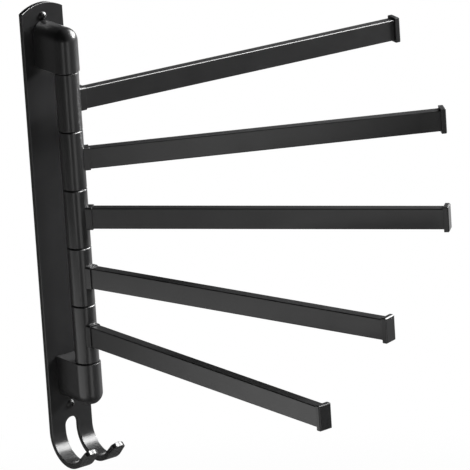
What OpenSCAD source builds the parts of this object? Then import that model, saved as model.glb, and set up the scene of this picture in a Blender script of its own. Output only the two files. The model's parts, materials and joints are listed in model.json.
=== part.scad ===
// Wall rack with five swing arms over a double hook.
// The origin is on the wall plane, at the middle of the plate's width and halfway between the two wall screws.
// +Z is up, +Y points into the wall and the arms reach out towards -Y.

/* [Wall plate] */
// Width of the wall plate
plate_w = 45.7; // [42:0.1:60]
// Thickness of the wall plate
plate_t = 5; // [4:0.1:8]
// Rise of the plate's round top edge above its two top corners
top_rise = 6.8; // [3:0.1:15]
// Length of plate from the upper wall screw up to the top corners
top_margin = 5.4; // [1:0.1:30]
// Length of plate from the lower wall screw down to the hook's bend
bend_margin = 23.8; // [22.5:0.1:60]

/* [Double hook] */
// Outside radius of the hook's bend
hook_r = 28.8; // [22:0.1:35]
// Angle through which the hook bends
hook_sweep = 136; // [110:1:150]
// Length of the straight lip past the bend
lip_len = 16.5; // [13:0.5:25]
// Width of the slot that parts the two prongs
slot_w = 14.7; // [10:0.1:20]
// Height of the slot's straight sides above the bend
slot_rise = 3.6; // [0:0.1:10]
// Width of each prong where its lip starts
lip_w = 14.8; // [10:0.1:15]
// Width of each prong's tip
tip_w = 12.2; // [8:0.1:14]
// Radius of each prong's round end
tip_r = 8; // [7.6:0.1:12]

/* [Swivel column] */
// Distance from the wall to the swivel axis
axis_out = 38.3; // [36:0.1:50]
// Height of the column's middle above the middle between the wall screws
column_lift = 1.9; // [0:0.1:4]
// Outside radius of an arm's sleeve
sleeve_r = 11.25; // [11:0.05:12]
// Height of one sleeve
sleeve_h = 56; // [45:0.5:80]
// Gap between one sleeve and the next
seam = 0.5; // [0.45:0.05:1]
// Chamfer round both ends of a sleeve
sleeve_chamfer = 0.7; // [0.2:0.1:0.8]
// Radius of the shaft on which the sleeves turn
shaft_r = 5; // [4:0.1:5.5]
// Length of shaft held in each bracket
shaft_grip = 24; // [15:0.5:28]

/* [Brackets] */
// Radius of a bracket's round nose and round end
nose_r = 12.4; // [12:0.1:15]
// Height of a bracket from its flat face to the middle of its round end
bracket_body = 29.5; // [29:0.5:40]

/* [Arms] */
// Reach of an arm from the swivel axis to the end cap's face
arm_reach = 349.7; // [200:0.1:500]
// Thickness of a bar
bar_t = 10; // [9:0.1:12]
// Height of a bar
bar_h = 20; // [16:0.5:25]
// Wall of the hollow bar
bar_wall = 1.2; // [1:0.1:1.5]
// Radius of a bar's long edges
bar_edge_r = 1; // [0.6:0.1:1.2]
// Height of a bar's centre above its sleeve's
bar_lift = 0; // [0:0.1:4]
// Distance from the swivel axis to the collar's outer end
collar_reach = 15.5; // [15:0.1:25]
// Wall of the collar round the bar
collar_wall = 1.15; // [1:0.05:2]
// Depth of the collar's socket
socket_depth = 3.6; // [2:0.1:4]
// Length of the tenon inside the bar, past the collar
tenon_len = 38; // [25:1:60]
// Angle of the top arm from straight out
arm_1_angle = 83; // [-90:1:90]
// Angle of the second arm from straight out
arm_2_angle = 63; // [-90:1:90]
// Angle of the third arm from straight out
arm_3_angle = 43; // [-90:1:90]
// Angle of the fourth arm from straight out
arm_4_angle = 18; // [-90:1:90]
// Angle of the bottom arm from straight out
arm_5_angle = 3; // [-90:1:90]

/* [End caps] */
// Length of an end cap's head
cap_len = 5; // [3:0.1:10]
// How far an end cap stands proud of the bar
cap_lip = 2.1; // [0.5:0.05:3]
// Bevel round an end cap's face
cap_bevel = 0.9; // [0.3:0.1:1.5]
// Length of an end cap's plug inside the bar
plug_len = 16; // [8:0.5:25]
// Wall of an end cap's plug
plug_wall = 1.4; // [1:0.1:2]

/* [Bushes] */
// Wall of a bush's barrel
bush_wall = 2; // [1:0.1:2.5]
// Length of a bush's barrel
bush_len = 14; // [8:0.5:20]
// Radius of a bush's flange
flange_r = 9.4; // [9:0.1:9.6]
// Thickness of a bush's flange
flange_t = 1; // [0.6:0.1:2]
// How far a flange stands out of its sleeve
flange_proud = 0.2; // [0.1:0.01:0.2]

/* [Fasteners] */
// Radius of a wall screw's head
wall_head_r = 4.1; // [4:0.1:6]
// Height of a wall screw's domed head
wall_head_h = 2.9; // [2:0.1:4]
// Radius of a wall screw's threaded shank
wall_shank_r = 2.1; // [1.8:0.1:2.5]
// Radius of the plain neck under a wall screw's head
wall_neck_r = 1.7; // [1.4:0.05:1.75]
// Length of plain neck past the plate, in the wall
wall_neck_past = 1; // [0.5:0.1:5]
// Length of a wall screw under its head
wall_screw_len = 25; // [20:1:60]
// Gap between a wall screw's head and the bracket's round end
wall_head_gap = 0.2; // [0.1:0.1:10]
// Radius of a bracket screw's head
bracket_head_r = 4.6; // [4:0.1:5.5]
// Radius of a bracket screw's shank
bracket_shank_r = 2.5; // [2:0.1:2.8]
// Length of a bracket screw
bracket_screw_len = 20; // [14:0.5:24]
// Distance from a bracket's flat face to its nearer screw
bracket_screw_edge = 8; // [7:0.5:12]
// Distance between a bracket's two screws
bracket_screw_pitch = 16; // [12:0.5:18]
// Radius of a bar's headless screw
bar_shank_r = 2; // [1.5:0.1:2.5]
// Depth of the bar screw's end below the bar's underside
bar_screw_inset = 0.3; // [0.1:0.05:0.6]
// Distance from the collar's end to the bar screw
bar_screw_out = 14; // [6:0.5:20]
// Radius of the plug screw that closes the lower bracket
plug_screw_r = 5.95; // [5.8:0.05:7]
// How far the plug screw sits inside the lower bracket's round end
plug_screw_inset = 3.4; // [2:0.1:6]

/* [Hidden] */
ARM_COUNT = 5;
ARM_PIECES = ["sleeve", "bushes", "bar", "end_cap", "bar_screw"];
FRAME_PIECES = ["wall_plate", "upper_bracket", "lower_bracket", "shaft", "plug_screw", "bracket_screws", "wall_screws"];

$fn = 96;
small_fn = 48;
hex_fn = 6;
// How far a cut runs past the face it opens
over = 1;
// Radial clearance of the sleeves' bushes on the shaft
run_gap = 0.05;
// Radial clearance of a fixed fit, such as the shaft in its brackets
fixed_gap = 0.03;
// Clearance all round between a bar and what it slides over or into
slide_gap = 0.1;
// Radial clearance of a screw in the hole it passes through
screw_gap = 0.4;
// How far the lip starts inside the bend, and how much thinner it is there on each side
lip_root = 0.5;
lip_inset = 0.01;

arm_angles = [arm_1_angle, arm_2_angle, arm_3_angle, arm_4_angle, arm_5_angle];
pitch = sleeve_h + seam;
bracket_z = (ARM_COUNT * pitch + seam) / 2;
round_z = bracket_z + bracket_body;
wall_screw_z = column_lift + round_z + nose_r + wall_head_gap + wall_head_r;
corner_z = wall_screw_z + top_margin;
bend_z = -wall_screw_z - bend_margin;
bush_bore_r = shaft_r + run_gap;
bush_r = bush_bore_r + bush_wall;
sleeve_bore_r = bush_r + fixed_gap;
flange_recess = flange_t - flange_proud;
bar_start = collar_reach - socket_depth;
bar_end = arm_reach - cap_len;
hollow_t = bar_t - 2 * bar_wall;
hollow_h = bar_h - 2 * bar_wall;
hollow_edge_r = bar_edge_r / 2;
bar_screw_at = collar_reach + bar_screw_out;
dome_r = (wall_head_r * wall_head_r + wall_head_h * wall_head_h) / (2 * wall_head_h);
wall_tip_len = 2 * wall_shank_r;
wall_hole_r = wall_shank_r + screw_gap;
drive_w = wall_head_r / 4;
drive_depth = wall_head_h / 2;
bracket_head_len = bracket_head_r - bracket_shank_r + screw_gap;
socket_share = 0.5;
bar_screw_grip = 4 * bar_shank_r;
plug_screw_end = round_z + nose_r - plug_screw_inset;
hook_mid_r = hook_r - plate_t / 2;
prong_x = (plate_w + slot_w) / 4;
prong_w = (plate_w - slot_w) / 2;
lip_start_y = -hook_r + hook_mid_r * cos(hook_sweep);
lip_start_z = bend_z - hook_mid_r * sin(hook_sweep);
lip_end_y = lip_start_y - lip_len * sin(hook_sweep);
taper_start_y = -2 * plate_t;

// A rectangle with round corners, made of straight and round pieces only
module rounded_rect(w, h, r) {
    square([w - 2 * r, h], center = true);
    square([w, h - 2 * r], center = true);
    for (x = [-1, 1], y = [-1, 1])
        translate([x * (w / 2 - r), y * (h / 2 - r)]) circle(r, $fn = small_fn);
}

// A bar of that section along -Y, from one distance to another from the swivel axis
module reach_out(from, to, w, h, r) {
    translate([0, -from, 0]) rotate([90, 0, 0]) linear_extrude(to - from) rounded_rect(w, h, r);
}

// A cylinder along Y, from one depth to another
module along_y(from, to, r, r_end = undef) {
    translate([0, from, 0]) rotate([-90, 0, 0]) cylinder(h = to - from, r1 = r, r2 = is_undef(r_end) ? r : r_end, $fn = small_fn);
}

module on_arm(n) {
    height = column_lift + ((ARM_COUNT + 1) / 2 - n) * pitch;
    translate([0, -axis_out, height]) rotate([0, 0, arm_angles[n - 1]]) children();
}

module both_ends() {
    children();
    mirror([0, 0, 1]) children();
}

// Places of the four bracket screws
module at_bracket_screws() {
    translate([0, 0, column_lift]) both_ends()
        for (k = [0, 1])
            translate([0, 0, bracket_z + bracket_screw_edge + k * bracket_screw_pitch]) children();
}

// The plate's flat part, with its round top edge
module plate_blank() {
    half = plate_w / 2;
    top_r = (half * half + top_rise * top_rise) / (2 * top_rise);
    rotate([90, 0, 0]) linear_extrude(plate_t) {
        translate([-half, bend_z]) square([plate_w, corner_z - bend_z]);
        intersection() {
            translate([0, corner_z + top_rise - top_r]) circle(top_r, $fn = 2 * $fn);
            translate([-half, corner_z - over]) square([plate_w, top_rise + 2 * over]);
        }
    }
}

// The straight lip laid flat, with a round end for each prong
module lip_outline() {
    translate([-plate_w / 2, -lip_root]) square([plate_w, lip_root + lip_len - tip_r]);
    for (side = [-1, 1])
        intersection() {
            translate([side * prong_x, lip_len - tip_r]) circle(tip_r, $fn = 2 * $fn);
            translate([-plate_w / 2, lip_len - tip_r - over]) square([plate_w, tip_r + 2 * over]);
        }
}

// The strip that bends forwards and up from the plate's lower end, before it is parted in two prongs
module hook_strip() {
    translate([0, -hook_r, bend_z]) rotate([0, 90, 0]) rotate([0, 0, 90])
        rotate_extrude(angle = -hook_sweep, $fn = 2 * $fn)
            translate([hook_r - plate_t, -plate_w / 2]) square([plate_t, plate_w]);
    translate([0, lip_start_y, lip_start_z]) rotate([180 - hook_sweep, 0, 0])
        translate([0, plate_t / 2 - lip_inset, 0]) rotate([90, 0, 0])
            linear_extrude(plate_t - 2 * lip_inset) lip_outline();
}

// Seen from above, one prong keeps its width under the plate and narrows towards the tip
module prong_outline() {
    root_half = min(lip_w, prong_w) / 2;
    tip_half = min(tip_w, prong_w) / 2;
    polygon([
        [slot_w / 2, over],
        [plate_w / 2, over],
        [plate_w / 2, taper_start_y],
        [prong_x + root_half, lip_start_y],
        [prong_x + tip_half, lip_end_y - plate_t],
        [prong_x - tip_half, lip_end_y - plate_t],
        [prong_x - root_half, lip_start_y],
        [slot_w / 2, taper_start_y]
    ]);
}

module double_hook() {
    depth = 2 * hook_r + lip_len;
    intersection() {
        hook_strip();
        for (side = [-1, 1])
            scale([side, 1, 1]) translate([0, 0, bend_z - depth]) linear_extrude(2 * depth) prong_outline();
    }
}

module wall_plate() {
    color("#262626") {
        difference() {
            plate_blank();
            translate([0, over, bend_z + slot_rise]) rotate([90, 0, 0])
                linear_extrude(plate_t + 2 * over) {
                    circle(slot_w / 2);
                    translate([-slot_w / 2, -slot_rise - over]) square([slot_w, slot_rise + over]);
                }
            both_ends() translate([0, 0, wall_screw_z]) along_y(-plate_t - over, over, wall_hole_r);
            at_bracket_screws() {
                along_y(-plate_t - over, over, bracket_shank_r + fixed_gap);
                along_y(-bracket_head_len, 0, bracket_shank_r + fixed_gap, bracket_head_r + fixed_gap);
                along_y(0, over, bracket_head_r + fixed_gap);
            }
        }
        double_hook();
    }
}

// One bracket above the column: an upright round nose, its sides run back to the plate, and a round end
module bracket_body_shape() {
    translate([0, -axis_out, bracket_z]) cylinder(h = bracket_body, r = nose_r);
    translate([0, -axis_out, round_z]) sphere(nose_r);
    translate([-nose_r, -axis_out, bracket_z]) cube([2 * nose_r, axis_out - plate_t, bracket_body]);
    translate([0, 0, round_z]) rotate([90, 0, 0]) translate([0, 0, plate_t])
        cylinder(h = axis_out - plate_t, r = nose_r);
}

module bracket_screw_holes() {
    for (k = [0, 1])
        translate([0, 0, bracket_z + bracket_screw_edge + k * bracket_screw_pitch])
            along_y(-bracket_screw_len - over, 0, bracket_shank_r + fixed_gap);
}

module upper_bracket() {
    color("#2a2a2a") translate([0, 0, column_lift]) difference() {
        bracket_body_shape();
        translate([0, -axis_out, bracket_z - over]) cylinder(h = shaft_grip + over + fixed_gap, r = shaft_r + fixed_gap);
        bracket_screw_holes();
    }
}

module lower_bracket() {
    color("#2a2a2a") translate([0, 0, column_lift]) mirror([0, 0, 1]) difference() {
        bracket_body_shape();
        translate([0, -axis_out, bracket_z - over]) cylinder(h = shaft_grip + 2 * over, r = shaft_r + fixed_gap);
        translate([0, -axis_out, bracket_z + shaft_grip]) cylinder(h = bracket_body + nose_r, r = plug_screw_r + fixed_gap);
        bracket_screw_holes();
    }
}

module shaft() {
    half = bracket_z + shaft_grip;
    tip = shaft_r / 5;
    color("#8f9296") translate([0, -axis_out, column_lift]) rotate_extrude()
        polygon([
            [0, -half],
            [shaft_r - tip, -half],
            [shaft_r, tip - half],
            [shaft_r, half - tip],
            [shaft_r - tip, half],
            [0, half]
        ]);
}

module plug_screw() {
    top = bracket_z + shaft_grip + fixed_gap;
    color("#3a3a3c") translate([0, -axis_out, column_lift - plug_screw_end]) difference() {
        cylinder(h = plug_screw_end - top, r = plug_screw_r);
        translate([0, 0, -over])
            cylinder(h = over + (plug_screw_end - top) / 2, r = plug_screw_r * socket_share, $fn = hex_fn);
    }
}

module bracket_screws() {
    color("#8f9296") at_bracket_screws() difference() {
        union() {
            along_y(-bracket_head_len, 0, bracket_shank_r, bracket_head_r);
            along_y(-bracket_screw_len, -bracket_head_len, bracket_shank_r);
        }
        translate([0, over, 0]) rotate([90, 0, 0])
            cylinder(h = over + bracket_head_len * socket_share, r = bracket_shank_r * socket_share, $fn = hex_fn);
    }
}

module wall_screws() {
    tip_y = wall_screw_len - plate_t;
    color("#1c1c1c") both_ends() translate([0, 0, wall_screw_z]) {
        difference() {
            intersection() {
                translate([0, dome_r - wall_head_h - plate_t, 0]) sphere(dome_r);
                along_y(-wall_head_h - plate_t - over, -plate_t, wall_head_r);
            }
            for (turn = [0, 90])
                rotate([0, turn, 0]) translate([-wall_shank_r, -wall_head_h - plate_t - over, -drive_w / 2])
                    cube([2 * wall_shank_r, over + drive_depth, drive_w]);
        }
        along_y(-plate_t, wall_neck_past, wall_neck_r);
        along_y(wall_neck_past, tip_y - wall_tip_len, wall_shank_r);
        along_y(tip_y - wall_tip_len, tip_y, wall_shank_r, wall_shank_r / 5);
    }
}

// The sleeve turns on the shaft; its collar and tenon carry the bar
module sleeve(n) {
    color("#2a2a2a") on_arm(n) difference() {
        union() {
            rotate_extrude() polygon([
                [0, -sleeve_h / 2],
                [sleeve_r - sleeve_chamfer, -sleeve_h / 2],
                [sleeve_r, sleeve_chamfer - sleeve_h / 2],
                [sleeve_r, sleeve_h / 2 - sleeve_chamfer],
                [sleeve_r - sleeve_chamfer, sleeve_h / 2],
                [0, sleeve_h / 2]
            ]);
            translate([0, 0, bar_lift]) {
                difference() {
                    reach_out(0, collar_reach, bar_t + 2 * collar_wall, bar_h + 2 * collar_wall, bar_edge_r + collar_wall);
                    reach_out(bar_start - slide_gap, collar_reach + over, bar_t + 2 * slide_gap, bar_h + 2 * slide_gap, bar_edge_r);
                }
                reach_out(0, collar_reach + tenon_len, hollow_t - 2 * slide_gap, hollow_h - 2 * slide_gap, hollow_edge_r);
            }
        }
        cylinder(h = sleeve_h + 2 * over, r = sleeve_bore_r, center = true);
        both_ends() translate([0, 0, sleeve_h / 2 - flange_recess])
            cylinder(h = flange_recess + over, r = flange_r + fixed_gap);
        translate([0, -bar_screw_at, bar_lift - bar_h / 2])
            cylinder(h = bar_screw_inset + bar_screw_grip, r = bar_shank_r + fixed_gap, $fn = small_fn);
    }
}

module bushes(n) {
    color("#3c3c3e") on_arm(n) both_ends() translate([0, 0, sleeve_h / 2 - flange_recess]) difference() {
        union() {
            cylinder(h = flange_t, r = flange_r);
            translate([0, 0, -bush_len]) cylinder(h = bush_len, r = bush_r);
        }
        translate([0, 0, -bush_len - over]) cylinder(h = bush_len + flange_t + 2 * over, r = bush_bore_r);
    }
}

module bar(n) {
    color("#2e2e2e") on_arm(n) translate([0, 0, bar_lift]) difference() {
        reach_out(bar_start, bar_end, bar_t, bar_h, bar_edge_r);
        reach_out(bar_start - over, bar_end + over, hollow_t, hollow_h, hollow_edge_r);
        translate([0, -bar_screw_at, -bar_h / 2 - over])
            cylinder(h = 2 * over + bar_wall, r = bar_shank_r + fixed_gap, $fn = small_fn);
    }
}

// Outline of the cap's head from one side, with its outer corners bevelled
module cap_outline(width) {
    polygon([
        [-width / 2, -bar_end],
        [-width / 2, cap_bevel - arm_reach],
        [cap_bevel - width / 2, -arm_reach],
        [width / 2 - cap_bevel, -arm_reach],
        [width / 2, cap_bevel - arm_reach],
        [width / 2, -bar_end]
    ]);
}

module end_cap(n) {
    cap_t = bar_t + 2 * cap_lip;
    cap_h = bar_h + 2 * cap_lip;
    plug_t = hollow_t - 2 * slide_gap;
    plug_h = hollow_h - 2 * slide_gap;
    color("#1f1f1f") on_arm(n) translate([0, 0, bar_lift]) {
        intersection() {
            reach_out(bar_end, arm_reach, cap_t, cap_h, bar_edge_r);
            translate([0, 0, -cap_h]) linear_extrude(2 * cap_h) cap_outline(cap_t);
            rotate([0, 90, 0]) translate([0, 0, -cap_t]) linear_extrude(2 * cap_t) cap_outline(cap_h);
        }
        difference() {
            reach_out(bar_end - plug_len, bar_end, plug_t, plug_h, hollow_edge_r);
            reach_out(bar_end - plug_len - over, bar_end, plug_t - 2 * plug_wall, plug_h - 2 * plug_wall, hollow_edge_r);
        }
    }
}

module bar_screw(n) {
    color("#1c1c1c") on_arm(n) translate([0, -bar_screw_at, bar_lift + bar_screw_inset - bar_h / 2]) difference() {
        cylinder(h = bar_screw_grip, r = bar_shank_r, $fn = small_fn);
        translate([0, 0, -over])
            cylinder(h = over + bar_shank_r, r = bar_shank_r * socket_share, $fn = hex_fn);
    }
}

wall_plate();
upper_bracket();
lower_bracket();
shaft();
plug_screw();
bracket_screws();
wall_screws();
for (n = [1 : ARM_COUNT]) {
    sleeve(n);
    bushes(n);
    bar(n);
    end_cap(n);
    bar_screw(n);
}
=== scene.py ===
"""Finishes, screw threads, studio and camera for a wall-mounted towel bar with five swinging arms.

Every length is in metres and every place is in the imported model's own frame: +Z up, the wall on the plane
Y = 0, the room on its -Y side.
"""
import json
import math

import bmesh
import bpy
from bpy.props import FloatProperty, FloatVectorProperty, IntProperty, PointerProperty
from mathutils import Matrix, Vector


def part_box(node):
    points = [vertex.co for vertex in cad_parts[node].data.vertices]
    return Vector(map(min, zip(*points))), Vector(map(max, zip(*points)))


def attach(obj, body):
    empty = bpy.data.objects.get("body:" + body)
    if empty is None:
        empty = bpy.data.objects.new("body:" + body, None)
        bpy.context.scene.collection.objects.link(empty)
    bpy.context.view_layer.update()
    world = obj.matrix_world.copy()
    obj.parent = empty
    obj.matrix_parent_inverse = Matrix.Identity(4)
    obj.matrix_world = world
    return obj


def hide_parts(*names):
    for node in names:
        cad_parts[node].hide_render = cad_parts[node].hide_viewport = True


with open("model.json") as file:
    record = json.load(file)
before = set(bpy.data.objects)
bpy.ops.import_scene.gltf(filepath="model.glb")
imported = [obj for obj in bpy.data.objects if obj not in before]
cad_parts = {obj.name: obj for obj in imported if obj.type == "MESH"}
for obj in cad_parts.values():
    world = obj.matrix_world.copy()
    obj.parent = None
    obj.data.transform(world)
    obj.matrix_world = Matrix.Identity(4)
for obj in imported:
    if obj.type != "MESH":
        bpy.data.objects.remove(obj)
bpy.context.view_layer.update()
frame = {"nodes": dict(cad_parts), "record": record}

NODES = frame["nodes"]

bl_info = {
    "name": "Swing arm towel bar",
    "version": (1, 0, 0),
    "blender": (4, 5, 0),
    "location": "3D View > Sidebar > Towel bar",
    "description": "Finishes the pieces of a swing arm towel bar and builds its studio",
    "category": "Object",
}

MM = 0.001
ARM_COUNT = sum(name.startswith("sleeve_") for name in NODES)
ARMS = range(1, ARM_COUNT + 1)
RECORD = frame["record"]
SLOT_COLOURS = {m["slot"]: m["base_color"] for m in RECORD["materials"]}


def mount(name):
    """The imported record's mount of that name."""
    return next(m for m in RECORD["mounts"] if m["name"] == name)


# Radius of the wall screws' shanks over their thread
STUD_R = mount("wall_screws")["dims"]["stud_r_mm"] * MM


def slot_colour(slot):
    """The record's colour of a material slot, as RGB."""
    return tuple(SLOT_COLOURS[slot][:3])


# Settings

class CoatingSettings(bpy.types.PropertyGroup):
    """The satin black coating of the plate, brackets, sleeves and bars."""
    colour: FloatVectorProperty(
        name="Colour", description="Colour of the coating", subtype="COLOR", size=3, min=0.0, max=1.0,
        default=slot_colour("black_aluminium"))
    roughness: FloatProperty(
        name="Roughness", description="Mean roughness of the coating", subtype="FACTOR", min=0.0, max=1.0,
        default=0.3)
    plate_roughness: FloatProperty(
        name="Plate roughness", description="Mean roughness of the flat plate's coating", subtype="FACTOR",
        min=0.0, max=1.0, default=0.23)
    grain_size: FloatProperty(
        name="Grain size", description="Distance between the coating's fine ripples", unit="LENGTH",
        min=0.05 * MM, default=0.7 * MM)
    grain_depth: FloatProperty(
        name="Grain depth", description="Height of the coating's fine ripples", unit="LENGTH", min=0.0,
        default=0.0008 * MM)
    # Painted sheen: how much lighter the edges' colour is painted, standing in for highlights along them,
    # with some rubbing.
    edge_wear: FloatProperty(
        name="Sheen and rubbing on edges", description="How much the edges are painted lighter, for a painted sheen and rubbing", subtype="FACTOR", min=0.0,
        max=1.0, default=0.35)


class PlasticSettings(bpy.types.PropertyGroup):
    """The moulded plastic of the end caps and the nylon of the bushes."""
    cap_colour: FloatVectorProperty(
        name="Cap colour", description="Colour of the end caps", subtype="COLOR", size=3, min=0.0, max=1.0,
        default=slot_colour("black_plastic"))
    cap_roughness: FloatProperty(
        name="Cap roughness", description="Mean roughness of the end caps", subtype="FACTOR", min=0.0,
        max=1.0, default=0.34)
    bush_colour: FloatVectorProperty(
        name="Bush colour", description="Colour of the nylon bushes", subtype="COLOR", size=3, min=0.0,
        max=1.0, default=slot_colour("bush_nylon"))
    bush_roughness: FloatProperty(
        name="Bush roughness", description="Mean roughness of the bushes", subtype="FACTOR", min=0.0,
        max=1.0, default=0.55)


class SteelSettings(bpy.types.PropertyGroup):
    """The bare steel of the shaft and bracket screws and the blackened steel of the other screws."""
    bare_colour: FloatVectorProperty(
        name="Bare colour", description="Colour of the turned steel", subtype="COLOR", size=3, min=0.0,
        max=1.0, default=slot_colour("steel"))
    bare_roughness: FloatProperty(
        name="Bare roughness", description="Mean roughness of the turned steel", subtype="FACTOR", min=0.0,
        max=1.0, default=0.3)
    black_colour: FloatVectorProperty(
        name="Black colour", description="Colour of the blackened screws", subtype="COLOR", size=3, min=0.0,
        max=1.0, default=slot_colour("black_steel"))
    black_roughness: FloatProperty(
        name="Black roughness", description="Mean roughness of the blackened screws", subtype="FACTOR",
        min=0.0, max=1.0, default=0.26)


class EdgeSettings(bpy.types.PropertyGroup):
    """The rounds that the finishing leaves on each piece's sharp edges."""
    plate: FloatProperty(
        name="Plate", description="Round on the wall plate's edges", unit="LENGTH", min=0.0,
        default=0.5 * MM)
    bracket: FloatProperty(
        name="Brackets", description="Round on the brackets' edges", unit="LENGTH", min=0.0,
        default=0.4 * MM)
    sleeve: FloatProperty(
        name="Sleeves", description="Round on the sleeves' and collars' edges", unit="LENGTH", min=0.0,
        default=0.15 * MM)
    bar: FloatProperty(
        name="Bars", description="Round on the bars' cut ends", unit="LENGTH", min=0.0, default=0.12 * MM)
    cap: FloatProperty(
        name="Caps", description="Round on the end caps' edges", unit="LENGTH", min=0.0, default=0.25 * MM)
    small: FloatProperty(
        name="Small parts", description="Round on the screws', bushes' and shaft's edges", unit="LENGTH",
        min=0.0, default=0.1 * MM)


class ThreadSettings(bpy.types.PropertyGroup):
    """The coarse thread of the two wall screws."""
    pitch: FloatProperty(
        name="Pitch", description="Distance between two turns of the thread", unit="LENGTH", min=0.5 * MM,
        default=1.8 * MM)
    depth: FloatProperty(
        name="Depth", description="Height of the thread over its root", unit="LENGTH", min=0.1 * MM,
        default=0.55 * MM)
    sides: IntProperty(
        name="Sides", description="Points in each ring of the thread", min=12, max=64, default=28)
    rings_per_turn: IntProperty(
        name="Rings per turn", description="Rings in each turn of the thread", min=6, max=24, default=10)


class StudioSettings(bpy.types.PropertyGroup):
    """The floor, the soft lights and the pale surroundings."""
    floor_drop: FloatProperty(
        name="Floor drop", description="Height of the object's origin over the floor", unit="LENGTH",
        min=0.3, default=0.9)
    floor_radius: FloatProperty(
        name="Floor radius", description="Radius of the round floor", unit="LENGTH", min=0.5, default=2.0)
    floor_colour: FloatVectorProperty(
        name="Floor colour", description="Colour of the floor", subtype="COLOR", size=3, min=0.0, max=1.0,
        default=(0.9, 0.9, 0.9))
    fill: FloatProperty(
        name="Fill", description="Strength of the light that comes from everywhere", min=0.0, default=0.1)
    surround: FloatProperty(
        name="Surround", description="Brightness of the studio as the gloss shows it", min=0.0, default=0.15)
    backdrop: FloatProperty(
        name="Backdrop", description="Brightness of the pale backdrop as the gloss shows it", min=0.0,
        default=0.5)
    ceiling: FloatProperty(
        name="Ceiling", description="Brightness of the studio's upper half, as a share of its lower half",
        subtype="FACTOR", min=0.0, max=1.0, default=0.05)
    gloss_floor: FloatProperty(
        name="Floor in the gloss", description="Brightness of the floor as the gloss shows it", min=0.0,
        default=0.15)
    light_level: FloatProperty(
        name="Light level", description="Factor on every lamp", min=0.0, default=1.0)


class CameraSettings(bpy.types.PropertyGroup):
    """The camera at the photograph's viewing angle."""
    azimuth: FloatProperty(
        name="Azimuth", description="Direction of the camera round +Z, from -Y towards +X", subtype="ANGLE",
        default=math.radians(-34.897))
    elevation: FloatProperty(
        name="Elevation", description="Angle of the camera over the horizon", subtype="ANGLE",
        default=math.radians(18.211))
    roll: FloatProperty(
        name="Roll", description="Turn of the camera about its own axis", subtype="ANGLE",
        default=math.radians(-3.734))
    distance: FloatProperty(
        name="Distance", description="Distance from the aimed point to the camera", unit="LENGTH", min=0.5,
        default=6.5499)
    aim: FloatVectorProperty(
        name="Aim", description="Point at the middle of the picture", subtype="XYZ", unit="LENGTH", size=3,
        default=(0.1305, -0.1040, -0.0323))
    lens: FloatProperty(
        name="Lens", description="Focal length in millimetres on a 36 mm sensor", unit="CAMERA", min=10.0,
        default=540.25)


class TowelBarSettings(bpy.types.PropertyGroup):
    """All the settings of the towel bar."""
    coating: PointerProperty(type=CoatingSettings, name="Coating", description="The satin black coating")
    plastic: PointerProperty(type=PlasticSettings, name="Plastic", description="End caps and bushes")
    steel: PointerProperty(type=SteelSettings, name="Steel", description="Shaft and screws")
    edges: PointerProperty(type=EdgeSettings, name="Edges", description="Rounds on the pieces' edges")
    thread: PointerProperty(type=ThreadSettings, name="Thread", description="Thread of the wall screws")
    studio: PointerProperty(type=StudioSettings, name="Studio", description="Floor, lights and surroundings")
    camera: PointerProperty(type=CameraSettings, name="Camera", description="The viewing angle")


def settings():
    """The towel bar's settings in the current scene."""
    return bpy.context.scene.towel_bar


# Shader node helpers

def link(tree, source, target):
    """Links an output to an input, each given as (node, socket name or number)."""
    tree.links.new(source[0].outputs[source[1]], target[0].inputs[target[1]])


def add_node(tree, kind, values=None, **attributes):
    """A new shader node with its attributes and input values set."""
    node = tree.nodes.new(kind)
    for key, value in attributes.items():
        setattr(node, key, value)
    for key, value in (values or {}).items():
        node.inputs[key].default_value = value
    return node


def add_math(tree, operation, a, b=None, clamp=False):
    """A Math node; a and b are numbers or (node, socket) pairs. Returns its (node, output)."""
    node = add_node(tree, "ShaderNodeMath", operation=operation, use_clamp=clamp)
    for number, value in enumerate((a, b)):
        if isinstance(value, tuple):
            link(tree, value, (node, number))
        elif value is not None:
            node.inputs[number].default_value = value
    return node, 0


def map_range(tree, value, from_low, from_high, to_low, to_high, smooth=False):
    """A clamped Map Range node fed by a (node, socket) pair. Returns its (node, output)."""
    limits = {"From Min": from_low, "From Max": from_high, "To Min": to_low, "To Max": to_high}
    kind = "SMOOTHSTEP" if smooth else "LINEAR"
    node = add_node(tree, "ShaderNodeMapRange", limits, interpolation_type=kind)
    link(tree, value, (node, "Value"))
    return node, 0


def new_group(name, inputs, outputs):
    """An empty shader node group with float sockets. inputs maps names to defaults, outputs lists names."""
    group = bpy.data.node_groups.new(name, "ShaderNodeTree")
    for socket_name, default in inputs.items():
        socket = group.interface.new_socket(
            name=socket_name, in_out="INPUT", socket_type="NodeSocketFloat")
        socket.default_value = default
    for socket_name in outputs:
        group.interface.new_socket(name=socket_name, in_out="OUTPUT", socket_type="NodeSocketFloat")
    entry = group.nodes.new("NodeGroupInput")
    leave = group.nodes.new("NodeGroupOutput")
    return group, entry, leave


# Cosine between a rounded normal and the surface's own at which the mask is full
EDGE_FACING = 0.86
# Range of the noise, and the share of the mask that is left at each end of it
BROKEN_FROM = (0.3, 0.65)
BROKEN_TO = (0.35, 1.0)


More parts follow.
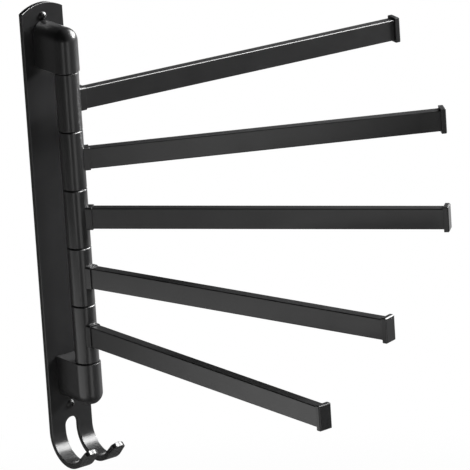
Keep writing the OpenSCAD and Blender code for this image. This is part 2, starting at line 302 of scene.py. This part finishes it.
def edge_polish_group():
    """Puts out a mask of the rounded edges, broken up by a slow noise; the coatings paint their colour
    lighter there as a painted sheen, with some rubbing.
    """
    group, entry, leave = new_group(
        "Edge polish", {"Width": 0.6 * MM, "Amount": 0.5, "Patch size": 20 * MM}, ["Mask"])
    rounded = add_node(group, "ShaderNodeBevel", samples=6)
    geometry = add_node(group, "ShaderNodeNewGeometry")
    link(group, (entry, "Width"), (rounded, "Radius"))
    facing = add_node(group, "ShaderNodeVectorMath", operation="DOT_PRODUCT")
    link(group, (rounded, 0), (facing, 0))
    link(group, (geometry, "Normal"), (facing, 1))
    bent = map_range(group, (facing, "Value"), 1.0, EDGE_FACING, 0.0, 1.0)
    place = add_node(group, "ShaderNodeTexCoord")
    patches = add_node(group, "ShaderNodeTexNoise", {"Detail": 3.0, "Roughness": 0.6})
    link(group, (place, "Object"), (patches, "Vector"))
    link(group, add_math(group, "DIVIDE", 1.0, (entry, "Patch size")), (patches, "Scale"))
    broken = map_range(group, (patches, "Fac"), *BROKEN_FROM, *BROKEN_TO)
    sheen_mask = add_math(group, "MULTIPLY", bent, broken)
    link(group, add_math(group, "MULTIPLY", sheen_mask, (entry, "Amount"), clamp=True), (leave, "Mask"))
    return group


# Smoothness of the cells, and their scale and height as shares of the noise's
CELL_SMOOTHNESS = 0.8
CELL_SCALE_SHARE = 0.6
CELL_HEIGHT_SHARE = 0.5


def fine_ripple_group():
    """Puts out the height of a fine orange-peel ripple, about 0 to 1."""
    group, entry, leave = new_group("Fine ripple", {"Size": 0.7 * MM}, ["Height"])
    place = add_node(group, "ShaderNodeTexCoord")
    scale = add_math(group, "DIVIDE", 1.0, (entry, "Size"))
    peel = add_node(group, "ShaderNodeTexNoise", {"Detail": 2.0, "Roughness": 0.45})
    link(group, (place, "Object"), (peel, "Vector"))
    link(group, scale, (peel, "Scale"))
    cells = add_node(group, "ShaderNodeTexVoronoi", feature="SMOOTH_F1")
    cells.inputs["Smoothness"].default_value = CELL_SMOOTHNESS
    link(group, (place, "Object"), (cells, "Vector"))
    link(group, add_math(group, "MULTIPLY", scale, CELL_SCALE_SHARE), (cells, "Scale"))
    both = add_math(group, "MULTIPLY_ADD", (cells, "Distance"), CELL_HEIGHT_SHARE)
    link(group, (peel, "Fac"), (both[0], 2))
    link(group, both, (leave, "Height"))
    return group


# Range of the noise that is spread over 0 to 1
PATCH_LIMITS = (0.1, 0.9)


def handling_group():
    """Puts out a slow variation from 0 to 1, as handling leaves on a gloss."""
    group, entry, leave = new_group("Handling", {"Patch size": 30 * MM}, ["Patches"])
    place = add_node(group, "ShaderNodeTexCoord")
    patches = add_node(group, "ShaderNodeTexNoise", {"Detail": 4.0, "Roughness": 0.55, "Distortion": 0.4})
    link(group, (place, "Object"), (patches, "Vector"))
    link(group, add_math(group, "DIVIDE", 1.0, (entry, "Patch size")), (patches, "Scale"))
    link(group, map_range(group, (patches, "Fac"), *PATCH_LIMITS, 0.0, 1.0, smooth=True), (leave, "Patches"))
    return group


# Range of the noise that is spread over 0 to 1 for the rings' tone
TONE_LIMITS = (0.3, 0.7)


def turning_marks_group():
    """Puts out fine rings round an axis, as a lathe leaves. Axis share 0 stacks them along Z, 1 along Y."""
    group, entry, leave = new_group(
        "Turning marks", {"Spacing": 0.3 * MM, "Axis share": 0.0}, ["Height", "Tone"])
    place = add_node(group, "ShaderNodeTexCoord")
    parts = add_node(group, "ShaderNodeSeparateXYZ")
    link(group, (place, "Object"), (parts, 0))
    along = add_node(group, "ShaderNodeMix")
    link(group, (entry, "Axis share"), (along, "Factor"))
    link(group, (parts, "Z"), (along, "A"))
    link(group, (parts, "Y"), (along, "B"))
    steps = add_math(group, "DIVIDE", (along, 0), (entry, "Spacing"))
    marks = add_node(
        group, "ShaderNodeTexNoise", {"Scale": 1.0, "Detail": 3.0, "Roughness": 0.7}, noise_dimensions="1D")
    link(group, steps, (marks, "W"))
    link(group, (marks, "Fac"), (leave, "Height"))
    link(group, map_range(group, (marks, "Fac"), *TONE_LIMITS, 0.0, 1.0), (leave, "Tone"))
    return group


GROUP_MAKERS = {
    "Edge polish": edge_polish_group,
    "Fine ripple": fine_ripple_group,
    "Handling": handling_group,
    "Turning marks": turning_marks_group,
}


def place_group(tree, name, **values):
    """A group node in a material, with the group built the first time that it is asked for."""
    group = bpy.data.node_groups.get(name) or GROUP_MAKERS[name]()
    node = tree.nodes.new("ShaderNodeGroup")
    node.node_tree = group
    for key, value in values.items():
        node.inputs[key.replace("_", " ").capitalize()].default_value = value
    return node


def new_material(name):
    """A material with an empty node tree but for its output and Principled BSDF."""
    material = bpy.data.materials.new(name)
    material.use_nodes = True
    tree = material.node_tree
    tree.nodes.clear()
    output = tree.nodes.new("ShaderNodeOutputMaterial")
    shader = tree.nodes.new("ShaderNodeBsdfPrincipled")
    link(tree, (shader, "BSDF"), (output, "Surface"))
    return material, tree, shader


# Numbers of the colour sockets on a Mix node, whose names are shared with its other sockets
COLOUR_A = 6
COLOUR_B = 7
COLOUR_RESULT = 2


def mix_colours(tree, factor, low, high):
    """Mixes two colours by a (node, socket) factor; low may be such a pair. Returns its (node, output)."""
    mix = add_node(tree, "ShaderNodeMix", data_type="RGBA")
    link(tree, factor, (mix, "Factor"))
    if isinstance(low[0], bpy.types.Node):
        link(tree, low, (mix, COLOUR_A))
    else:
        mix.inputs[COLOUR_A].default_value = (*low, 1.0)
    mix.inputs[COLOUR_B].default_value = (*high, 1.0)
    return mix, COLOUR_RESULT


def lighter(colour, factor):
    """A colour multiplied by a factor, within 1."""
    return tuple(min(1.0, channel * factor) for channel in colour)


def feed_bump(tree, shader, height, distance):
    """Feeds the shader's Normal from a (node, socket) height, whose unit stands for distance."""
    bump = add_node(tree, "ShaderNodeBump", {"Distance": distance, "Strength": 1.0})
    link(tree, height, (bump, "Height"))
    link(tree, (bump, "Normal"), (shader, "Normal"))


# Materials

# Lowest and highest tone and roughness of a coating, as shares of the mean
TONE_SPREAD = (0.9, 1.1)
GLOSS_SPREAD = (0.9, 1.12)
# Factor on an edge's colour for its painted sheen and rubbing, and what is added to its roughness
EDGE_SHEEN_LIGHTENING = 2.2
EDGE_SMOOTHING = -0.05


def coated_material(name, colour, roughness, grain_size, grain_depth, sheen_and_rubbing, edge_width):
    """A coating or moulded surface: fine ripple, slow changes of gloss, edges painted a little lighter as a
    painted sheen with some rubbing, and a little smoother.
    """
    material, tree, shader = new_material(name)
    handling = place_group(tree, "Handling")
    sheen_edges = place_group(tree, "Edge polish", width=edge_width, amount=sheen_and_rubbing)
    ripple = place_group(tree, "Fine ripple", size=grain_size)
    dark, light = (lighter(colour, factor) for factor in TONE_SPREAD)
    tone = mix_colours(tree, (handling, "Patches"), dark, light)
    # Painted sheen: the colour is painted lighter along the rounded edges, standing in for highlights there,
    # with some rubbing.
    edge = mix_colours(tree, (sheen_edges, "Mask"), tone, lighter(colour, EDGE_SHEEN_LIGHTENING))
    link(tree, edge, (shader, "Base Color"))
    smoothest, roughest = (roughness * factor for factor in GLOSS_SPREAD)
    gloss = map_range(tree, (handling, "Patches"), 0.0, 1.0, smoothest, roughest)
    polished = add_math(tree, "MULTIPLY_ADD", (sheen_edges, "Mask"), EDGE_SMOOTHING, clamp=True)
    link(tree, gloss, (polished[0], 2))
    link(tree, polished, (shader, "Roughness"))
    feed_bump(tree, shader, (ripple, "Height"), grain_depth)
    return material


def black_coating(name, roughness):
    """The black coating of the aluminium pieces, at a mean roughness."""
    s = settings().coating
    return coated_material(
        name, s.colour, roughness, s.grain_size, s.grain_depth, s.edge_wear, edge_width=0.7 * MM)


def satin_black():
    """The black coating of the brackets, sleeves and bars."""
    return black_coating("satin_black", settings().coating.roughness)


def plate_black():
    """The same coating on the plate, which lies smoother on its flat faces."""
    return black_coating("plate_black", settings().coating.plate_roughness)


def cap_plastic():
    """The moulded black plastic of the end caps."""
    s = settings().plastic
    return coated_material(
        "cap_plastic", s.cap_colour, s.cap_roughness, grain_size=0.4 * MM, grain_depth=0.003 * MM,
        sheen_and_rubbing=0.2, edge_width=0.4 * MM)


def bush_nylon():
    """The dark nylon of the bushes."""
    s = settings().plastic
    return coated_material(
        "bush_nylon", s.bush_colour, s.bush_roughness, grain_size=0.3 * MM, grain_depth=0.004 * MM,
        sheen_and_rubbing=0.1, edge_width=0.2 * MM)


def black_steel():
    """The blackened steel of the wall screws, plug screw and bar screws."""
    s = settings().steel
    return coated_material(
        "black_steel", s.black_colour, s.black_roughness, grain_size=0.25 * MM, grain_depth=0.002 * MM,
        sheen_and_rubbing=0.5, edge_width=0.3 * MM)


# Lowest and highest tone and roughness of turned steel, as shares of the mean, and its marks' depth
STEEL_TONES = (0.85, 1.1)
STEEL_GLOSS = (0.8, 1.2)
MARK_DEPTH = 0.004 * MM


def turned_steel(name, axis_share):
    """Bare steel with lathe marks, round Z for an axis share of 0 and round Y for 1."""
    s = settings().steel
    material, tree, shader = new_material(name)
    shader.inputs["Metallic"].default_value = 1.0
    marks = place_group(tree, "Turning marks", axis_share=axis_share)
    handling = place_group(tree, "Handling")
    dark, light = (lighter(s.bare_colour, factor) for factor in STEEL_TONES)
    link(tree, mix_colours(tree, (marks, "Tone"), dark, light), (shader, "Base Color"))
    smoothest, roughest = (s.bare_roughness * factor for factor in STEEL_GLOSS)
    gloss = map_range(tree, (handling, "Patches"), 0.0, 1.0, smoothest, roughest)
    link(tree, gloss, (shader, "Roughness"))
    feed_bump(tree, shader, (marks, "Height"), MARK_DEPTH)
    return material


def shaft_steel():
    """The bare steel of the shaft."""
    return turned_steel("shaft_steel", 0.0)


def screw_steel():
    """The bare steel of the bracket screws."""
    return turned_steel("screw_steel", 1.0)


def finish_of(make):
    """The material that a maker function gives, made once."""
    return bpy.data.materials.get(make.__name__) or make()


# Geometry helpers

# Distance under which corners are one, angle over which an edge is sharp, angle under which faces merge
WELD = 0.03 * MM
SOFT_ANGLE = math.radians(30)
FLAT_ANGLE = math.radians(0.6)
# Segments across a rounded edge
SEGMENTS = 3
PLATE_SEGMENTS = 4
SMALL_SEGMENTS = 2


def clean_normals_group():
    """A geometry group that welds split corners, drops stored normals and leaves only sharp edges sharp."""
    name = "Clean normals"
    if name in bpy.data.node_groups:
        return bpy.data.node_groups[name]
    group = bpy.data.node_groups.new(name, "GeometryNodeTree")
    group.interface.new_socket(name="Geometry", in_out="INPUT", socket_type="NodeSocketGeometry")
    group.interface.new_socket(name="Geometry", in_out="OUTPUT", socket_type="NodeSocketGeometry")
    entry = group.nodes.new("NodeGroupInput")
    leave = group.nodes.new("NodeGroupOutput")
    weld = group.nodes.new("GeometryNodeMergeByDistance")
    weld.inputs["Distance"].default_value = WELD
    smooth = group.nodes.new("GeometryNodeSetShadeSmooth")
    normals = group.nodes.new("GeometryNodeSetMeshNormal")
    normals.mode = "SHARPNESS"
    angle = group.nodes.new("GeometryNodeInputMeshEdgeAngle")
    sharp = group.nodes.new("FunctionNodeCompare")
    sharp.inputs["B"].default_value = SOFT_ANGLE
    link(group, (angle, "Unsigned Angle"), (sharp, "A"))
    link(group, (entry, 0), (weld, "Geometry"))
    link(group, (weld, 0), (smooth, "Geometry"))
    link(group, (smooth, 0), (normals, "Mesh"))
    link(group, (sharp, 0), (normals, "Edge Sharpness"))
    link(group, (normals, 0), (leave, 0))
    return group


def round_edges(piece, width, segments, clamp):
    """Adds the modifiers that weld a piece, merge its flat triangles and round its sharp edges."""
    clean = piece.modifiers.new("clean", "NODES")
    clean.node_group = clean_normals_group()
    flat = piece.modifiers.new("flat", "DECIMATE")
    flat.decimate_type = "DISSOLVE"
    flat.angle_limit = FLAT_ANGLE
    rounds = piece.modifiers.new("rounds", "BEVEL")
    rounds.width = width
    rounds.segments = segments
    rounds.limit_method = "ANGLE"
    rounds.angle_limit = SOFT_ANGLE
    rounds.use_clamp_overlap = clamp
    weighted = piece.modifiers.new("normals", "WEIGHTED_NORMAL")
    weighted.keep_sharp = True


def dress(names, make, width, segments=SEGMENTS, clamp=False):
    """Gives CAD nodes a finish and rounded edges."""
    material = finish_of(make)
    for name in names:
        node = NODES[name]
        for material_slot in node.material_slots:
            material_slot.material = material
        round_edges(node, width, segments, clamp)


def dress_small(names, make):
    """Gives small CAD nodes a finish and narrow rounds that keep clear of each other."""
    dress(names, make, settings().edges.small, SMALL_SEGMENTS, clamp=True)


def arm_nodes(kind):
    """The names of one kind of piece on every arm."""
    return [f"{kind}_{arm}" for arm in ARMS]


# Wall screws

# Width of one flank of the thread as a share of the pitch, and length of the screws' points
FLANK_SHARE = 0.36
TIP_LENGTH = 2 * STUD_R


def thread_height(phase):
    """Height of the thread's profile, 0 at the root and 1 at the crest, for a phase from 0 to 1."""
    return max(0.0, 1.0 - abs(phase - 0.5) / FLANK_SHARE)


def thread_radius(y, angle, start, end):
    """Radius of the threaded shank at a place along it and an angle round it."""
    s = settings().thread
    root = STUD_R - s.depth
    fade = min(1.0, (y - start) / s.pitch, (end - y) / s.pitch)
    phase = ((y - start) / s.pitch - angle / math.tau) % 1.0
    radius = root + s.depth * max(0.0, fade) * thread_height(phase)
    taper = min(1.0, (end - y) / TIP_LENGTH)
    return radius * taper


def add_thread(mesh_data, centre_z, start, end):
    """Adds a closed threaded shank along +Y to a bmesh, ending in a point."""
    s = settings().thread
    rings = round((end - start) / s.pitch * s.rings_per_turn)
    loops = []
    for ring in range(rings):
        y = start + (end - start) * ring / rings
        loop = []
        for side in range(s.sides):
            angle = math.tau * side / s.sides
            radius = thread_radius(y, angle, start, end)
            point = Vector((radius * math.cos(angle), y, centre_z + radius * math.sin(angle)))
            loop.append(mesh_data.verts.new(point))
        loops.append(loop)
    mesh_data.faces.new(loops[0])
    for near, far in zip(loops, loops[1:]):
        for side in range(s.sides):
            after = (side + 1) % s.sides
            mesh_data.faces.new((near[after], near[side], far[side], far[after]))
    point = mesh_data.verts.new(Vector((0.0, end, centre_z)))
    for side in range(s.sides):
        after = (side + 1) % s.sides
        mesh_data.faces.new((loops[-1][after], loops[-1][side], point))


def head_and_neck(upper, neck_end):
    """A bmesh with one wall screw's head and neck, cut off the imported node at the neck's end and closed."""
    mesh_data = bmesh.new()
    mesh_data.from_mesh(NODES["wall_screws"].data)
    bmesh.ops.remove_doubles(mesh_data, verts=mesh_data.verts, dist=WELD)
    other = [v for v in mesh_data.verts if (v.co.z > 0) != upper]
    bmesh.ops.delete(mesh_data, geom=other, context="VERTS")
    everything = mesh_data.verts[:] + mesh_data.edges[:] + mesh_data.faces[:]
    cut = bmesh.ops.bisect_plane(
        mesh_data, geom=everything, plane_co=(0.0, neck_end, 0.0), plane_no=(0.0, 1.0, 0.0),
        clear_outer=True)
    rim = [e for e in cut["geom_cut"] if isinstance(e, bmesh.types.BMEdge)]
    bmesh.ops.contextual_create(mesh_data, geom=rim)
    return mesh_data


def make_wall_screw(name, upper):
    """One wall screw with its domed head, recess, neck and cut thread."""
    low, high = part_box("wall_screws")
    neck_end = mount("wall_screws")["pos_m"][1]
    mesh_data = head_and_neck(upper, neck_end)
    head_r = (high.x - low.x) / 2
    centre_z = (high.z - head_r) * (1 if upper else -1)
    inside_neck = neck_end / 2
    add_thread(mesh_data, centre_z, inside_neck, high.y)
    bmesh.ops.recalc_face_normals(mesh_data, faces=mesh_data.faces)
    mesh = bpy.data.meshes.new(name)
    mesh_data.to_mesh(mesh)
    mesh_data.free()
    screw = bpy.data.objects.new(name, mesh)
    bpy.context.scene.collection.objects.link(screw)
    mesh.materials.append(finish_of(black_steel))
    round_edges(screw, settings().edges.small, SMALL_SEGMENTS, clamp=True)
    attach(screw, "rack")
    return screw


# Studio

def direction(azimuth, elevation):
    """Unit vector at an azimuth from -Y towards +X and an elevation, in degrees."""
    a = math.radians(azimuth)
    e = math.radians(elevation)
    return Vector((math.sin(a) * math.cos(e), -math.cos(a) * math.cos(e), math.sin(e)))


# Power of a square metre of area light that shows as white in a perfect mirror
WATTS_PER_RADIANCE = 4.0
PANEL_AIM = (0.0, -0.05, 0.0)


def add_panel(name, azimuth, elevation, distance, width, height, radiance, diffuse=True, only=(),
              aim=PANEL_AIM):
    """A rectangular soft light that faces the aimed point and lights the pieces in only, or all of them."""
    data = bpy.data.lights.new(name, "AREA")
    data.shape = "RECTANGLE"
    data.size = width
    data.size_y = height
    data.energy = WATTS_PER_RADIANCE * width * height * radiance * settings().studio.light_level
    lamp = bpy.data.objects.new(name, data)
    bpy.context.scene.collection.objects.link(lamp)
    towards = direction(azimuth, elevation)
    lamp.location = Vector(aim) + towards * distance
    lamp.rotation_mode = "QUATERNION"
    lamp.rotation_quaternion = towards.to_track_quat("Z", "Y")
    lamp.visible_camera = False
    lamp.visible_diffuse = diffuse
    if only:
        receivers = bpy.data.collections.new(name + "_receivers")
        for piece in only:
            receivers.objects.link(NODES.get(piece) or bpy.data.objects[piece])
        lamp.light_linking.receiver_collection = receivers


# Scale of the floor's grain and its darker tone as a share of the floor's colour
FLOOR_GRAIN_SCALE = 400.0
FLOOR_GRAIN_TONE = 0.985
# Where the floor starts and ends its fade to white, as shares of its radius
FADE_START_SHARE = 0.35
FADE_END_SHARE = 0.95


def floor_material():
    """A pale floor that keeps the shadow near the object and fades to white at its rim."""
    s = settings().studio
    material, tree, shader = new_material("studio_floor")
    shader.inputs["Roughness"].default_value = 0.9
    shader.inputs["Specular IOR Level"].default_value = 0.1
    grain = add_node(tree, "ShaderNodeTexNoise", {"Scale": FLOOR_GRAIN_SCALE, "Detail": 2.0})
    place = add_node(tree, "ShaderNodeTexCoord")
    link(tree, (place, "Object"), (grain, "Vector"))
    grained = mix_colours(tree, (grain, "Fac"), lighter(s.floor_colour, FLOOR_GRAIN_TONE), s.floor_colour)
    link(tree, grained, (shader, "Base Color"))
    away = add_node(tree, "ShaderNodeVectorMath", operation="LENGTH")
    link(tree, (place, "Object"), (away, 0))
    fade_start = s.floor_radius * FADE_START_SHARE
    fade_end = s.floor_radius * FADE_END_SHARE
    rim = map_range(tree, (away, "Value"), fade_start, fade_end, 0.0, 1.0, smooth=True)
    rays = add_node(tree, "ShaderNodeLightPath")
    faded = add_math(tree, "MULTIPLY", rim, (rays, "Is Camera Ray"))
    mirrored = add_math(tree, "MAXIMUM", (rays, "Is Glossy Ray"), (rays, "Is Transmission Ray"))
    white = add_node(tree, "ShaderNodeEmission")
    level = map_range(tree, (rays, "Is Camera Ray"), 0.0, 1.0, s.gloss_floor, 1.0)
    link(tree, level, (white, "Strength"))
    mix = add_node(tree, "ShaderNodeMixShader")
    link(tree, add_math(tree, "MAXIMUM", faded, mirrored), (mix, "Fac"))
    link(tree, (shader, "BSDF"), (mix, 1))
    link(tree, (white, "Emission"), (mix, 2))
    output = next(n for n in tree.nodes if n.type == "OUTPUT_MATERIAL")
    link(tree, (mix, "Shader"), (output, "Surface"))
    return material


def add_floor():
    """A round pale floor below the object."""
    s = settings().studio
    mesh_data = bmesh.new()
    bmesh.ops.create_circle(mesh_data, cap_ends=True, radius=s.floor_radius, segments=96)
    mesh = bpy.data.meshes.new("studio_floor")
    mesh_data.to_mesh(mesh)
    mesh_data.free()
    floor = bpy.data.objects.new("studio_floor", mesh)
    bpy.context.scene.collection.objects.link(floor)
    floor.location = (0.0, 0.0, -s.floor_drop)
    mesh.materials.append(floor_material())


# Azimuth and elevation of the backdrop's middle in degrees, and the cosines at which it starts and is full
BACKDROP_DIRECTION = (135, -15)
BACKDROP_FADE = (0.55, 0.95)
# Heights on the unit sphere from which the studio has its ceiling's and its own brightness
CEILING_HEIGHTS = (0.15, -0.05)


def add_surroundings():
    """A white background for the camera; a dimmer studio with a pale backdrop for the gloss and the fill."""
    s = settings().studio
    world = bpy.data.worlds.new("studio")
    bpy.context.scene.world = world
    world.use_nodes = True
    tree = world.node_tree
    tree.nodes.clear()
    output = tree.nodes.new("ShaderNodeOutputWorld")
    rays = add_node(tree, "ShaderNodeLightPath")
    place = add_node(tree, "ShaderNodeTexCoord")
    parts = add_node(tree, "ShaderNodeSeparateXYZ")
    link(tree, (place, "Generated"), (parts, 0))
    backdrop_way = direction(*BACKDROP_DIRECTION)
    behind = add_node(tree, "ShaderNodeVectorMath", {1: backdrop_way}, operation="DOT_PRODUCT")
    link(tree, (place, "Generated"), (behind, 0))
    backdrop = map_range(tree, (behind, "Value"), *BACKDROP_FADE, 0.0, s.backdrop, smooth=True)
    below = map_range(tree, (parts, "Z"), *CEILING_HEIGHTS, s.ceiling, 1.0, smooth=True)
    gloss = add_math(tree, "MULTIPLY", add_math(tree, "ADD", backdrop, s.surround), below)
    glossy = add_math(tree, "MAXIMUM", (rays, "Is Glossy Ray"), (rays, "Is Transmission Ray"))
    indirect = add_node(tree, "ShaderNodeMix", {"A": s.fill}, data_type="FLOAT")
    link(tree, glossy, (indirect, "Factor"))
    link(tree, gloss, (indirect, "B"))
    level = add_node(tree, "ShaderNodeMix", {"B": 1.0}, data_type="FLOAT")
    link(tree, (rays, "Is Camera Ray"), (level, "Factor"))
    link(tree, (indirect, 0), (level, "A"))
    background = add_node(tree, "ShaderNodeBackground", {"Color": (1.0, 1.0, 1.0, 1.0)})
    link(tree, (level, 0), (background, "Strength"))
    link(tree, (background, 0), (output, "Surface"))


SENSOR_WIDTH = 36.0


def add_camera():
    """The camera at the photograph's viewing angle."""
    s = settings().camera
    data = bpy.data.cameras.new("camera")
    data.sensor_width = SENSOR_WIDTH
    data.lens = s.lens
    data.clip_start = 0.1
    data.clip_end = 60.0
    camera = bpy.data.objects.new("camera", data)
    bpy.context.scene.collection.objects.link(camera)
    back = direction(math.degrees(s.azimuth), math.degrees(s.elevation))
    right = Vector((math.cos(s.azimuth), math.sin(s.azimuth), 0.0))
    level = Matrix((right, back.cross(right), back)).transposed()
    turn = level @ Matrix.Rotation(s.roll, 3, "Z")
    camera.matrix_world = Matrix.Translation(Vector(s.aim) + back * s.distance) @ turn.to_4x4()
    bpy.context.scene.camera = camera


# Angles are in degrees and lengths in metres. Without diffuse, a lamp shows in the gloss alone. With only,
# it lights those pieces alone.
LIGHTS = (
    dict(name="key_softbox", azimuth=83, elevation=31, distance=1.6, width=1.1, height=0.9, radiance=16.0),
    dict(name="key_core", azimuth=67, elevation=23, distance=1.6, width=0.2, height=0.2, radiance=160.0),
    dict(name="hook_softbox", azimuth=42, elevation=43, distance=1.8, width=0.7, height=1.25, radiance=16.0,
         diffuse=False, only=("wall_plate",)),
    dict(name="rim_softbox", azimuth=5, elevation=58, distance=1.8, width=1.0, height=0.9, radiance=40.0,
         diffuse=False, only=("wall_plate",)),
    dict(name="edge_softbox", azimuth=52, elevation=50, distance=1.8, width=1.7, height=0.9, radiance=24.0,
         diffuse=False, only=(*arm_nodes("sleeve"), "bar_1")),
    dict(name="screw_softbox", azimuth=95, elevation=30, distance=1.8, width=1.0, height=0.8, radiance=60.0,
         diffuse=False, only=("wall_screw_upper",)),
    dict(name="horizon_panel", azimuth=142, elevation=1, distance=1.8, width=1.3, height=0.6, radiance=1.6,
         diffuse=False, only=("wall_plate", "upper_bracket", "lower_bracket")),
    dict(name="left_panel", azimuth=-90, elevation=0, distance=0.5, width=0.72, height=0.45, radiance=1.15,
         diffuse=False, aim=(0.0, 0.06, -0.44)),
    dict(name="strip_panel", azimuth=-51, elevation=-18, distance=2.4, width=0.52, height=1.6, radiance=1.4,
         diffuse=False),
    dict(name="front_panel", azimuth=-8, elevation=-18, distance=0.75, width=0.26, height=0.8, radiance=1.2,
         diffuse=False),
    dict(name="right_panel", azimuth=90, elevation=0, distance=0.9, width=0.5, height=0.8, radiance=0.5,
         diffuse=False, aim=(0.0, -0.22, -0.35)),
)


# Operators

class TOWELBAR_OT_wall_plate(bpy.types.Operator):
    """Coats the wall plate with its double hook and rounds its edges"""
    bl_idname = "towelbar.wall_plate"
    bl_label = "Wall plate"

    def execute(self, context):
        dress(["wall_plate"], plate_black, settings().edges.plate, PLATE_SEGMENTS)
        return {"FINISHED"}


class TOWELBAR_OT_brackets(bpy.types.Operator):
    """Coats the two brackets and rounds their edges"""
    bl_idname = "towelbar.brackets"
    bl_label = "Brackets"

    def execute(self, context):
        dress(["upper_bracket", "lower_bracket"], satin_black, settings().edges.bracket)
        return {"FINISHED"}


class TOWELBAR_OT_sleeves(bpy.types.Operator):
    """Coats the stacked sleeves and rounds their edges"""
    bl_idname = "towelbar.sleeves"
    bl_label = "Sleeves"

    def execute(self, context):
        dress(arm_nodes("sleeve"), satin_black, settings().edges.sleeve)
        return {"FINISHED"}


class TOWELBAR_OT_bars(bpy.types.Operator):
    """Coats the five bars and breaks the edges of their cut ends"""
    bl_idname = "towelbar.bars"
    bl_label = "Bars"

    def execute(self, context):
        dress(arm_nodes("bar"), satin_black, settings().edges.bar)
        return {"FINISHED"}


class TOWELBAR_OT_end_caps(bpy.types.Operator):
    """Gives the five end caps their moulded plastic and soft edges"""
    bl_idname = "towelbar.end_caps"
    bl_label = "End caps"

    def execute(self, context):
        dress(arm_nodes("end_cap"), cap_plastic, settings().edges.cap)
        return {"FINISHED"}


class TOWELBAR_OT_bushes(bpy.types.Operator):
    """Gives the ten bushes their dark nylon"""
    bl_idname = "towelbar.bushes"
    bl_label = "Bushes"

    def execute(self, context):
        dress_small(arm_nodes("bushes"), bush_nylon)
        return {"FINISHED"}


class TOWELBAR_OT_shaft(bpy.types.Operator):
    """Gives the shaft and the plug screw under it their steel"""
    bl_idname = "towelbar.shaft"
    bl_label = "Shaft and plug screw"

    def execute(self, context):
        dress_small(["shaft"], shaft_steel)
        dress_small(["plug_screw"], black_steel)
        return {"FINISHED"}


class TOWELBAR_OT_small_screws(bpy.types.Operator):
    """Gives the bracket screws and the bar screws their steel"""
    bl_idname = "towelbar.small_screws"
    bl_label = "Bracket and bar screws"

    def execute(self, context):
        dress_small(["bracket_screws"], screw_steel)
        dress_small(arm_nodes("bar_screw"), black_steel)
        return {"FINISHED"}


class TOWELBAR_OT_wall_screws(bpy.types.Operator):
    """Makes the two wall screws with their cut threads"""
    bl_idname = "towelbar.wall_screws"
    bl_label = "Wall screws"

    def execute(self, context):
        make_wall_screw("wall_screw_upper", upper=True)
        lower = make_wall_screw("wall_screw_lower", upper=False)
        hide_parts("wall_screws")
        return {"FINISHED"}


class TOWELBAR_OT_stage(bpy.types.Operator):
    """Builds the floor, the lights, the surroundings and the camera"""
    bl_idname = "towelbar.stage"
    bl_label = "Studio and camera"

    def execute(self, context):
        context.scene.view_settings.view_transform = "Standard"
        add_floor()
        add_surroundings()
        for light in LIGHTS:
            add_panel(**light)
        add_camera()
        return {"FINISHED"}


OPERATORS = (
    TOWELBAR_OT_wall_plate,
    TOWELBAR_OT_brackets,
    TOWELBAR_OT_sleeves,
    TOWELBAR_OT_bars,
    TOWELBAR_OT_end_caps,
    TOWELBAR_OT_bushes,
    TOWELBAR_OT_shaft,
    TOWELBAR_OT_small_screws,
    TOWELBAR_OT_wall_screws,
    TOWELBAR_OT_stage,
)


class TOWELBAR_PT_panel(bpy.types.Panel):
    """Lists the towel bar's steps and settings"""
    bl_idname = "TOWELBAR_PT_panel"
    bl_label = "Towel bar"
    bl_space_type = "VIEW_3D"
    bl_region_type = "UI"
    bl_category = "Towel bar"

    def draw(self, context):
        layout = self.layout
        for operator in OPERATORS:
            layout.operator(operator.bl_idname)
        for group in ("coating", "plastic", "steel", "edges", "thread", "studio", "camera"):
            values = getattr(context.scene.towel_bar, group)
            box = layout.box()
            box.label(text=group.capitalize())
            for key in values.__annotations__:
                box.prop(values, key)


SETTING_GROUPS = (
    CoatingSettings,
    PlasticSettings,
    SteelSettings,
    EdgeSettings,
    ThreadSettings,
    StudioSettings,
    CameraSettings,
    TowelBarSettings,
)
CLASSES = SETTING_GROUPS + OPERATORS + (TOWELBAR_PT_panel,)


def register():
    """Registers the settings, operators and panel."""
    for each in CLASSES:
        bpy.utils.register_class(each)
    bpy.types.Scene.towel_bar = PointerProperty(type=TowelBarSettings)


def unregister():
    """Removes the settings, operators and panel."""
    del bpy.types.Scene.towel_bar
    for each in reversed(CLASSES):
        bpy.utils.unregister_class(each)


def main():
    """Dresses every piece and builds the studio."""
    register()
    for operator in OPERATORS:
        getattr(bpy.ops.towelbar, operator.bl_idname.split(".")[1])()


if __name__ == "__main__":
    main()
